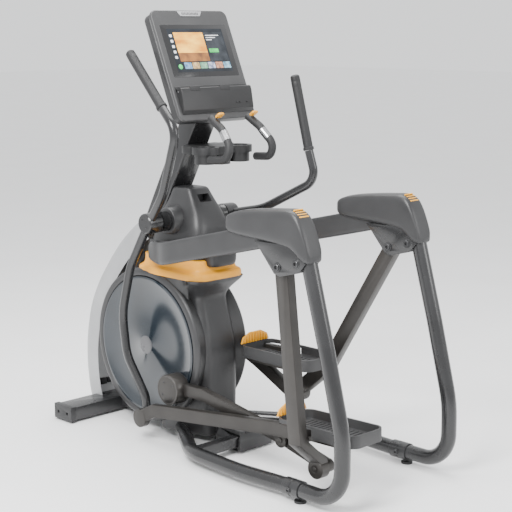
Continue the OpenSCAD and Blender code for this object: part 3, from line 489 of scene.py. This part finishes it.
for z, rear, wide in housing["levels"]:
    pinch = (0.097 - wide) * 1.1 if z < 0.69 else 0
    lift = max(0, (z - 0.60) / 0.116) ** 2 * 0.012
    sections.append([(-0.138, 0.330, z), (-0.136 - lift * 0.3, 0.250, z), (-0.128 - lift, 0.205 - lift, z),
                     (-0.112 + pinch * 0.3 - lift, 0.178, z),
                     (-wide - 0.006, rear + 0.055, z), (-wide, rear + 0.024, z),
                     (-wide + 0.022, rear + 0.004, z), (-0.035, rear, z), (0, rear - 0.001, z),
                     (0.035, rear, z), (wide - 0.022, rear + 0.004, z), (wide, rear + 0.024, z),
                     (wide + 0.006, rear + 0.055, z),
                     (0.112 - pinch * 0.3 + lift, 0.178, z), (0.128 + lift, 0.205 - lift, z),
                     (0.136 + lift * 0.3, 0.250, z), (0.138, 0.330, z)])
addPiece("housingColumn", loftSheet(sections, 60, 96, 0.003), "frame", coverGrey)

shell = [(0.892, 0.028), (0.908, 0.075), (0.922, 0.150), (0.9285, 0.240), (0.922, 0.350), (0.890, 0.490),
         (0.830, 0.612), (0.742, 0.732),
         (0.648, 0.836), (0.560, 0.910), (0.500, 0.948)]
sections = []
for k, (y, z) in enumerate(shell):
    a, b = Vector(shell[max(0, k - 1)]), Vector(shell[min(len(shell) - 1, k + 1)])
    run = (b - a).normalized()
    inward = Vector((-run.y, run.x))
    sections.append([(x, y + inward.x * d, z + inward.y * d) for x, d in
                     ((-0.103, 0.105), (-0.1035, 0.070), (-0.103, 0.040), (-0.097, 0.018), (-0.078, 0.0055),
                      (-0.040, 0.001), (0, 0),
                      (0.040, 0.001), (0.078, 0.0055), (0.097, 0.018), (0.103, 0.040), (0.1035, 0.070),
                      (0.103, 0.105))])
addPiece("frontShell", loftSheet(sections, 72, 48, 0.003), "frame", silverShell,
         ("front_cover",))

band = [(0, 0.290, 0.7165, 0.1465, 0.212), (0, 0.290, 0.722, 0.1470, 0.213),
        (0, 0.290, 0.738, 0.1465, 0.211), (0, 0.290, 0.746, 0.1430, 0.207),
        (0, 0.290, 0.751, 0.1350, 0.200), (0, 0.290, 0.758, 0.1270, 0.194),
        (0, 0.290, 0.775, 0.1240, 0.190), (0, 0.290, 0.799, 0.1235, 0.189)]
addPiece("accentBand", loftRings(band, "Z", 0.32, 40, 96), "frame", accentOrange,
         ("accent_band",))

pillar = [(0, 0.290, 0.801, 0.112, 0.166), (0, 0.287, 0.830, 0.114, 0.167), (0, 0.280, 0.870, 0.113, 0.162),
          (0, 0.270, 0.910, 0.110, 0.152),
          (0, 0.266, 0.950, 0.103, 0.139), (0, 0.268, 1.000, 0.088, 0.117), (0, 0.272, 1.045, 0.074, 0.089),
          (0, 0.277, 1.078, 0.066, 0.070),
          (0, 0.279, 1.092, 0.061, 0.062), (0, 0.280, 1.0985, 0.052, 0.052), (0, 0.280, 1.100, 0.030, 0.030)]
bm = loftRings(pillar, "Z", 0.42, 72, 96)
for side in (-1, 1):
    collar = turned([(0.020, 0.066), (0.100, 0.066), (0.112, 0.060), (0.135, 0.057), (0.138, 0.054),
                     (0.138, 0.026), (0.020, 0.026)], 72)
    merge(bm, collar, Matrix.Translation((0, 0.284, 0.960)) @ Matrix.Scale(side, 4, (1, 0, 0)))
shoulder = addPiece("shoulderShape", bm, "frame", coverGrey, ("shoulder_cover",))
cutter = bpy.data.meshes.new("cutter")
bm = block((-0.033, 0.10, 1.040), (0.033, 0.245, 1.072), 0.004)
bm.to_mesh(cutter)
bm.free()
cutterOb = bpy.data.objects.new("cutter", cutter)
scene.collection.objects.link(cutterOb)
cut = shoulder.modifiers.new("slot", "BOOLEAN")
cut.operation = "DIFFERENCE"
cut.solver = "EXACT"
cut.object = cutterOb
bpy.context.view_layer.update()
carved = bpy.data.meshes.new_from_object(shoulder.evaluated_get(bpy.context.evaluated_depsgraph_get()))
shoulder.modifiers.clear()
shoulder.data = carved
bpy.data.objects.remove(cutterOb)
shoulder.data.materials.clear()
shoulder.data.materials.append(coverGrey)
liner = block((-0.0335, 0.236, 1.0395), (0.0335, 0.250, 1.0725), 0.001, 1)
addPiece("slotLiner", liner, "frame", darkPlastic)

cup = loftRings([(0, 0.098, 0.772, 0.058, 0.024), (0, 0.094, 0.776, 0.068, 0.032),
                 (0, 0.092, 0.792, 0.074, 0.036), (0, 0.092, 0.826, 0.076, 0.037),
                 (0, 0.092, 0.829, 0.074, 0.035), (0, 0.092, 0.826, 0.071, 0.032),
                 (0, 0.092, 0.806, 0.069, 0.030)], "Z", 0.55, 36, 64)
addPiece("rearPocketCup", cup, "frame", darkPlastic, ("rear_pocket",))
core = turned([(0.0, 0.0), (0.0, 0.028), (0.003, 0.030), (0.066, 0.030), (0.069, 0.0265), (0.069, 0.0)], 48)
bmesh.ops.transform(core, matrix=Matrix.Translation((0, 0.095, 0.803)) @ Matrix.Rotation(radians(-90), 4,
        "Y"), verts=core.verts)
addPiece("rearPocketCore", core, "frame", coverGrey)
print("covers made")

# sleeves with their seams
sleeves = {"x": 0.322, "y": -0.658, "z": 0.050, "half": 0.042, "radius": 0.036}
bm = bmesh.new()
for side in (-1, 1):
    h, r = sleeves["half"], sleeves["radius"]
    ring = turned([(-h, 0.0312), (-h, r - 0.002), (-h + 0.002, r), (-0.004, r), (-0.003, r - 0.0015),
                   (0.003, r - 0.0015),
                   (0.004, r), (h - 0.002, r), (h, r - 0.002), (h, 0.0312)])
    merge(bm, ring, Matrix.Translation((side * sleeves["x"], sleeves["y"],
                                        sleeves["z"])) @ Matrix.Rotation(radians(90), 4, "Z"))
addPiece("sleeves", bm, "frame", powderBlack, ("coupling_sleeves",))

# bolts
bolts = {"plateOut": 0.362, "plateIn": 0.282, "rocker": (-0.598, 0.903), "second": (-0.696, 0.928),
         "head": 0.013, "washer": 0.018}


def boltHead(radius, height, washer=0.0):
    made = turned([(0, 0), (0, radius * 0.99), (0, radius), (height * 0.75, radius),
                   (height, radius * 0.86), (height, radius * 0.52)])
    bmesh.ops.delete(made, geom=[f for f in made.faces if f.calc_center_median().x < 1e-7], context="FACES")
    socket = bmesh.new()
    bmesh.ops.create_circle(socket, cap_ends=True, radius=radius * 0.52, segments=6)
    bmesh.ops.rotate(socket, verts=socket.verts, cent=(0, 0, 0), matrix=Matrix.Rotation(radians(90), 3, "Y"))
    bmesh.ops.translate(socket, vec=(height * 0.35, 0, 0), verts=socket.verts)
    merge(made, socket)
    wall = turned([(height * 0.35, radius * 0.52), (height, radius * 0.52)], 6)
    merge(made, wall)
    if washer:
        merge(made, turned([(0, 0), (0, washer), (0.0018, washer), (0.0022, washer - 0.0004),
                            (0.0022, radius * 0.9)]))
    return made


bm = bmesh.new()
for side in (-1, 1):
    for y, z in (bolts["rocker"], bolts["second"]):
        for x, way in ((bolts["plateOut"], 1), (bolts["plateIn"], -1)):
            face = Matrix.Translation((side * x, y, z)) @ Matrix.Scale(side * way, 4, (1, 0, 0))
            merge(bm, boltHead(bolts["head"], 0.0068, bolts["washer"]), face)
    for x, way in ((0.358, 1), (0.286, -1)):
        merge(bm, boltHead(0.0085, 0.006, 0.012), Matrix.Translation((side * x, -0.658,
                0.050)) @ Matrix.Scale(side * way, 4, (1, 0, 0)))
    for step in (-0.032, 0.032):
        merge(bm, boltHead(0.0055, 0.004), Matrix.Translation((side * 0.3385, 0.783 + step,
                0.042)) @ Matrix.Scale(side, 4, (1, 0, 0)))
addPiece("frameBolts", bm, "frame", darkSteel, ("frame_bolts",))
print("bolts made")

# crank discs
crank = {"y": 0.420, "z": 0.391, "radius": 0.306, "out": 0.149, "in": 0.134}
bm = bmesh.new()
at = Matrix.Translation((0, crank["y"], crank["z"]))
rings = bmesh.new()
for side in (-1, 1):
    out, low, rad = crank["out"], crank["in"], crank["radius"]
    dish = turned([(low, 0.014), (low, rad - 0.002), (low + 0.002, rad), (out - 0.002, rad),
                   (out - 0.0005, rad - 0.003),
                   (out - 0.0005, rad - 0.012), (out - 0.003, rad - 0.016), (out - 0.003, 0.046),
                   (out - 0.001, 0.043), (out - 0.001, 0.014)], 160)
    merge(bm, dish, at @ Matrix.Scale(side, 4, (1, 0, 0)))
    hub = turned([(out - 0.001, 0.0), (out + 0.0010, 0.0), (out + 0.0015, 0.012), (out + 0.0015, 0.036),
                  (out + 0.0005, 0.040), (out - 0.002, 0.041)], 96)
    merge(rings, hub, at @ Matrix.Scale(side, 4, (1, 0, 0)))
addPiece("crankDiscs", bm, "crank", discPlastic, ("crank_discs",))
addPiece("crankHubs", rings, "crank", hubGrey)
print("crank made")

# moving linkage
links = {"left": ((-0.688223, 0.111123), 8.60017), "right": ((-0.178914, 0.22508), 20.6703)}
linkLength = 0.88711
for word, side in (("left", -1), ("right", 1)):
    refine("rocker_" + word, 0.004)
    refine("crank_link_" + word, 0.004)
    refine("pedal_arm_" + word, 0.004)
    (py, pz), turn = links[word]
    knuckle = turned([(0.1965, 0.0), (0.1965, 0.036), (0.199, 0.0385), (0.240, 0.0385), (0.2425, 0.036),
                      (0.2425, 0.017), (0.2405, 0.0155), (0.2405, 0.0)], 64)
    bmesh.ops.transform(knuckle, matrix=Matrix.Scale(side, 4, (1, 0, 0)) @ Matrix.Translation((0, py, pz)),
                        verts=knuckle.verts)
    addPiece("rockerKnuckle_" + word, knuckle, "rocker_" + word, linkageMetal)
    pose = Matrix.Scale(side, 4, (1, 0, 0)) @ Matrix.Translation((0, py,
            pz)) @ Matrix.Rotation(radians(turn), 4, "X")
    cap = turned([(0.158, 0.0), (0.158, 0.0655), (0.160, 0.067), (0.222, 0.067), (0.2265, 0.0635),
                  (0.2265, 0.057), (0.2250, 0.055), (0.2252, 0.0)], 96)
    screws = bmesh.new()
    for k in range(4):
        a = radians(45 + 90 * k)
        merge(screws, boltHead(0.0048, 0.0022), Matrix.Translation((0.2250, 0.040 * cos(a), 0.040 * sin(a))))
    bmesh.ops.transform(cap, matrix=pose @ Matrix.Translation((0, linkLength, 0)), verts=cap.verts)
    bmesh.ops.transform(screws, matrix=pose @ Matrix.Translation((0, linkLength, 0)), verts=screws.verts)
    addPiece("linkCap_" + word, cap, "link_" + word, linkageMetal)
    addPiece("linkCapScrews_" + word, screws, "link_" + word, darkSteel)
print("linkage made")

# hand levers
lever = {
    "y": 0.284, "z": 0.960, "radius": 0.019, "end": (0.0314, -0.8564),
    "low": [(0.237, 0.012, -0.020), (0.243, 0.120, -0.205), (0.247, 0.176, -0.420), (0.247, 0.148, -0.600),
            (0.232, 0.0454, -0.7664), (0.232, 0.0314, -0.8564)],
    "lowBends": [0, 0.2, 0.3, 0.2, 0.08, 0],
    "high": [(0.237, -0.014, 0.012), (0.266, -0.130, 0.135), (0.312, -0.270, 0.410), (0.298, -0.170, 0.496)],
    "highBends": [0, 0.3, 0.076, 0],
    "tip": (0.272, 0.066, 0.718),
}
for word, side, turn in (("left", -1, 0.0), ("right", 1, 35.7097)):
    pose = Matrix.Scale(side, 4, (1, 0, 0)) @ Matrix.Translation((0, lever["y"],
            lever["z"])) @ Matrix.Rotation(radians(turn), 4, "X")
    bm = sweepTube(bendPath(lever["low"], lever["lowBends"]), lever["radius"])
    merge(bm, sweepTube(bendPath(lever["high"], lever["highBends"]), lever["radius"]))
    boss = turned([(0.1395, 0.024), (0.1395, 0.040), (0.142, 0.0425), (0.186, 0.0425), (0.188, 0.044),
                   (0.1885, 0.0405), (0.1915, 0.0405),
                   (0.192, 0.044), (0.246, 0.044), (0.258, 0.0425), (0.262, 0.038), (0.262, 0.0)], 72)
    merge(bm, boss)
    foot = turned([(0.223, 0.0), (0.223, 0.022), (0.225, 0.024), (0.244, 0.024), (0.246, 0.022),
                   (0.246, 0.0)], 48)
    merge(bm, foot, Matrix.Translation((0, *lever["end"])))
    bmesh.ops.transform(bm, matrix=pose, verts=bm.verts)
    addPiece("handLever_" + word, bm, "lever_" + word, powderBlack, ("hand_lever_" + word,))
    screws = bmesh.new()
    for y, z in ((0.012, 0.016), (-0.012, -0.016)):
        merge(screws, boltHead(0.0052, 0.0016), Matrix.Translation((0.2612, y, z)))
    bmesh.ops.transform(screws, matrix=pose, verts=screws.verts)
    addPiece("leverScrews_" + word, screws, "lever_" + word, darkSteel)
    ring, tip = Vector(lever["high"][-1]), Vector(lever["tip"])
    long = (tip - ring).length
    profile = [(0.001, 0.0), (0.001, 0.0215), (0.003, 0.0235), (0.012, 0.0235), (0.014, 0.0215),
               (0.0155, 0.0200), (0.0180, 0.0205)]
    x = 0.0240
    while x < long - 0.05:
        profile += [(x, 0.0205), (x + 0.0015, 0.0201), (x + 0.003, 0.0205)]
        x += 0.0060
    profile += [(long - 0.030, 0.0205), (long - 0.028, 0.0198), (long - 0.026, 0.0204),
                (long - 0.007, 0.0196), (long - 0.002, 0.0150), (long, 0.008), (long, 0.0)]
    aim = Vector((1, 0, 0)).rotation_difference(tip - ring).to_matrix().to_4x4()
    grip = turned(profile, 48)
    bmesh.ops.transform(grip, matrix=pose @ Matrix.Translation(ring) @ aim, verts=grip.verts)
    addPiece("leverGrip_" + word, grip, "lever_" + word, gripRubber, ("lever_grip_" + word,))
print("levers made")

# pedals
pedal = {"gap": 0.042, "long": 0.412, "high": 0.050, "lift": 0.050, "front": 0.002, "tilt": 3.2}
arms = {"left": ((-0.467108, 0.167826), -4.69391), "right": ((0.0254565, 0.326766), -3.20089)}
for word, side in (("left", -1), ("right", 1)):
    (py, pz), turn = arms[word]
    seat = Matrix.Scale(side, 4, (1, 0, 0)) @ Matrix.Translation((0, py,
            pz)) @ Matrix.Rotation(radians(turn + pedal["tilt"]), 4, "X") \
        @ Matrix.Translation((pedal["gap"], pedal["front"] - pedal["long"], pedal["lift"]))
    refine("pedal_tray_" + word, 0.0035, segments=3)
    refine("toe_guard_" + word, 0.0025)
    ribs = bmesh.new()
    for k in range(15):
        y = 0.050 + k * 0.0215
        merge(ribs, block((0.030, y, 0.0138), (0.138, y + 0.007, 0.0172), 0.0016, 2))
    bmesh.ops.transform(ribs, matrix=seat, verts=ribs.verts)
    addPiece("pedalRibs_" + word, ribs, "pedal_" + word, pedalPlastic)
    fins = bmesh.new()
    for k in range(9):
        x = 0.030 + k * 0.0165
        top = 0.012 + 0.034 * sin(pi * (k + 1) / 10)
        merge(fins, block((x, pedal["long"] - 0.0135, pedal["high"] + 0.001),
                          (x + 0.004, pedal["long"] - 0.0088, pedal["high"] + top), 0.0012, 2))
    bmesh.ops.transform(fins, matrix=seat, verts=fins.verts)
    addPiece("guardRibs_" + word, fins, "pedal_" + word, accentOrange)
print("pedals made")

# console
console = {"y": 0.089, "z": 1.400, "lean": 23.4, "wide": 0.430, "high": 0.4914,
           "glassLow": 0.191, "glassWide": 0.374, "glassHigh": 0.234}
onFace = Matrix.Translation((0, console["y"],
                             console["z"])) @ Matrix.Rotation(radians(90 - console["lean"]), 4, "X")


def addFacePiece(name, bm, mats, stands=()):
    bmesh.ops.transform(bm, matrix=onFace, verts=bm.verts)
    return addPiece(name, bm, "frame", mats, stands)


half, tall = console["wide"] / 2, console["high"]
face = plate([(-half, 0), (half, 0), (half, tall), (-half, tall)], -0.0178, -0.0002, 0.005, 4, 0.030)
addFacePiece("consoleFace", face, consoleGrey, ("console_face",))
back = plate([(-half + 0.004, 0.004), (half - 0.004, 0.004), (half - 0.004, tall - 0.004),
              (-half + 0.004, tall - 0.004)],
             -0.062, -0.018, 0.012, 5, 0.030)
addFacePiece("consoleBack", back, coverGrey, ("console_shell",))
gx, gy, gh = console["glassWide"] / 2, console["glassLow"], console["glassHigh"]
glass = plate([(-gx, gy), (gx, gy), (gx, gy + gh), (-gx, gy + gh)], -0.003, 0.0004, 0.0008, 2, 0.006)
addFacePiece("screenGlass", glass, glassBlack, ("screen_glass",))


def tile(name, x0, y0, x1, y1, mat, lift=0.0006, corner=0.0):
    bm = plate([(x0, y0), (x1, y0), (x1, y1), (x0, y1)], 0.0002, lift, 0, 1, corner)
    return addFacePiece(name, bm, mat)


sx, sy0, sy1 = 0.1565, 0.213, 0.406
tile("screenBase", -sx, sy0, sx, sy1, glowFinish("screenDark", (0.004, 0.006, 0.009), (0.012, 0.016, 0.022),
                                                 14, 0.5))
tile("screenView", -0.126, sy0 + 0.047, 0.040, sy1 - 0.016,
     glowFinish("screenWarm", (0.55, 0.20, 0.015), (0.95, 0.52, 0.08), 9, 0.9, (1, 1, 3)), 0.0009)
tile("screenHill", -0.126, sy0 + 0.047, 0.040, sy0 + 0.085,
     glowFinish("screenHill", (0.12, 0.05, 0.02), (0.30, 0.12, 0.03), 22, 0.7), 0.0012)
tile("screenPanel", 0.044, sy0 + 0.047, 0.150, sy1 - 0.016,
     glowFinish("screenPanel", (0.010, 0.013, 0.017), (0.03, 0.035, 0.042), 20, 0.6), 0.0009)
tile("screenButton", 0.052, sy0 + 0.085, 0.105, sy0 + 0.103,
     glowFinish("screenGreen", (0.02, 0.30, 0.06), (0.05, 0.50, 0.12), 60, 0.8), 0.0012, 0.003)
white = glowFinish("screenWhite", (0.55, 0.56, 0.58), (0.75, 0.76, 0.78), 80, 0.7)
for k in range(3):
    tile("screenLine_%d" % k, 0.052, sy1 - 0.032 - 0.010 * k, 0.128 - 0.022 * k, sy1 - 0.0285 - 0.010 * k,
         white, 0.0012)
for k in range(5):
    tile("screenIcon_%d" % k, -sx + 0.006, sy0 + 0.060 + 0.024 * k, -sx + 0.020, sy0 + 0.072 + 0.024 * k,
         white, 0.0010, 0.003)
hues = [((0.04, 0.10, 0.22), (0.20, 0.34, 0.48)), ((0.25, 0.16, 0.06), (0.55, 0.40, 0.22)),
        ((0.05, 0.16, 0.10), (0.22, 0.38, 0.26)),
        ((0.10, 0.12, 0.20), (0.42, 0.44, 0.52)), ((0.22, 0.08, 0.05), (0.50, 0.26, 0.16)),
        ((0.04, 0.12, 0.18), (0.26, 0.42, 0.50))]
for k, (low, high) in enumerate(hues):
    x0 = -0.112 + k * 0.0445
    tile("screenCard_%d" % k, x0, sy0 + 0.014, x0 + 0.040, sy0 + 0.042,
         glowFinish("screenCard_%d" % k, low, high, 70, 0.8), 0.0012, 0.002)
bm = turned([(0.0, 0.0), (0.0004, 0.010), (0.0, 0.011)], 32)
bmesh.ops.rotate(bm, verts=bm.verts, cent=(0, 0, 0), matrix=Matrix.Rotation(radians(-90), 3, "Y"))
bmesh.ops.translate(bm, vec=(-0.136, sy0 + 0.024, 0.0012), verts=bm.verts)
addFacePiece("screenStart", bm, glowFinish("screenStartGreen", (0.03, 0.38, 0.08),
                                                           (0.06, 0.55, 0.14), 60, 0.9))

grille = plate([(-0.070, tall - 0.006), (-0.054, tall - 0.028), (0.054, tall - 0.028),
                (0.070, tall - 0.006)], -0.001, 0.0026, 0.001, 2, 0.003)
addFacePiece("topGrille", grille, lightTrim)
slots = bmesh.new()
for k in range(12):
    x = -0.047 + k * 0.0079
    merge(slots, block((x, tall - 0.023, 0.0020), (x + 0.0042, tall - 0.011, 0.0031), 0.0004, 1))
addFacePiece("grilleSlots", slots, darkPlastic)

# tablet shelf: a lipped tray across the lower face
shelfOutline = [(0.026, 0.001), (0.040, 0.016), (0.112, 0.033), (0.130, 0.034), (0.137, 0.026),
                (0.126, 0.020), (0.120, 0.010),
                (0.128, 0.004), (0.150, 0.006), (0.152, 0.001)]
bm = plate([(z, y) for y, z in shelfOutline], -0.200, 0.200)
bmesh.ops.transform(bm, matrix=Matrix(((0, 0, 1, 0), (0, 1, 0, 0), (1, 0, 0, 0), (0, 0, 0, 1))),
                    verts=bm.verts)
softenEdges(bm, 0.003, 3)
addFacePiece("tabletShelf", bm, darkPlastic, ("tablet_shelf",))
notches = bmesh.new()
merge(notches, block((0.020, 0.118, 0.030), (0.075, 0.139, 0.0352), 0.002, 2))
merge(notches, block((-0.150, 0.118, 0.030), (-0.095, 0.139, 0.0352), 0.002, 2))
addFacePiece("shelfPads", notches, gripRubber)
ports = bmesh.new()
for x in (0.100, 0.118, 0.160):
    merge(ports, block((x, 0.060, 0.0200), (x + 0.008, 0.066, 0.0245), 0.0008, 2))
addFacePiece("shelfPorts", ports, gripRubber)
refine("neck_bracket", 0.008)
print("console made")

# controls under the console
grips = {"points": [(0.106, 0.032, 1.410), (0.110, -0.036, 1.370), (0.124, -0.102, 1.300),
                    (0.128, -0.082, 1.246), (0.134, 0.012, 1.240)],
         "bends": [0, 0.07, 0.046, 0.040, 0], "radius": 0.017}
bm = bmesh.new()
for side in (-1, 1):
    merge(bm, sweepTube(bendPath(mirrored(grips["points"], side), grips["bends"]), grips["radius"]))
addPiece("fixedGrips", bm, "frame", gripRubber, ("fixed_grips",))
bm = bmesh.new()
for side in (-1, 1):
    merge(bm, sweepTube([Vector((side * 0.1115, -0.048, 1.3575)), Vector((side * 0.119, -0.079, 1.3240))],
                        0.0180))
addPiece("gripContacts", bm, "frame", brightSteel)
refine("cup_tray", 0.004)
for word in ("left", "right"):
    refine("thumb_switch_" + word, 0.0025)
    for end in ("front", "rear"):
        refine("foot_%s_%s" % (end, word), 0.002)
    refine("wheel_" + word, 0.003)
print("controls made")

# finishes for the parts inside the housing
for n, ob in frame["nodes"].items():
    ob.data.materials.clear()
    ob.data.materials.append(slotFinish[nodeSlot[n]])

# floor and light
floorMat = finishOf("floorPale", (0.93, 0.93, 0.93), (0.96, 0.96, 0.96), 0.8, grain=60, bump=0.0, mottle=2)
bm = bmesh.new()
bmesh.ops.create_grid(bm, x_segments=1, y_segments=1, size=40)
mesh = bpy.data.meshes.new("floor")
bm.to_mesh(mesh)
bm.free()
mesh.materials.append(floorMat)
floor = bpy.data.objects.new("floor", mesh)
scene.collection.objects.link(floor)
world = bpy.data.worlds.new("studio")
world.use_nodes = True
world.node_tree.nodes["Background"].inputs[0].default_value = (0.98, 0.99, 1.0, 1)
world.node_tree.nodes["Background"].inputs[1].default_value = 1.35
scene.world = world


def softBox(name, place, aim, size, power):
    data = bpy.data.lights.new(name, "AREA")
    data.shape = "RECTANGLE"
    data.size, data.size_y = size
    data.energy = power
    box = bpy.data.objects.new(name, data)
    box.location = place
    box.rotation_euler = (Vector(aim) - Vector(place)).to_track_quat("-Z", "Y").to_euler()
    scene.collection.objects.link(box)


softBox("key", (-3.2, -1.0, 3.6), (0, 0, 0.8), (1.6, 1.8), 280)
softBox("fill", (1.5, -4.2, 2.4), (0, 0, 0.8), (1.8, 1.8), 60)
softBox("top", (0.3, 0.6, 4.2), (0, 0, 0.6), (3.0, 2.4), 160)
print("light set")
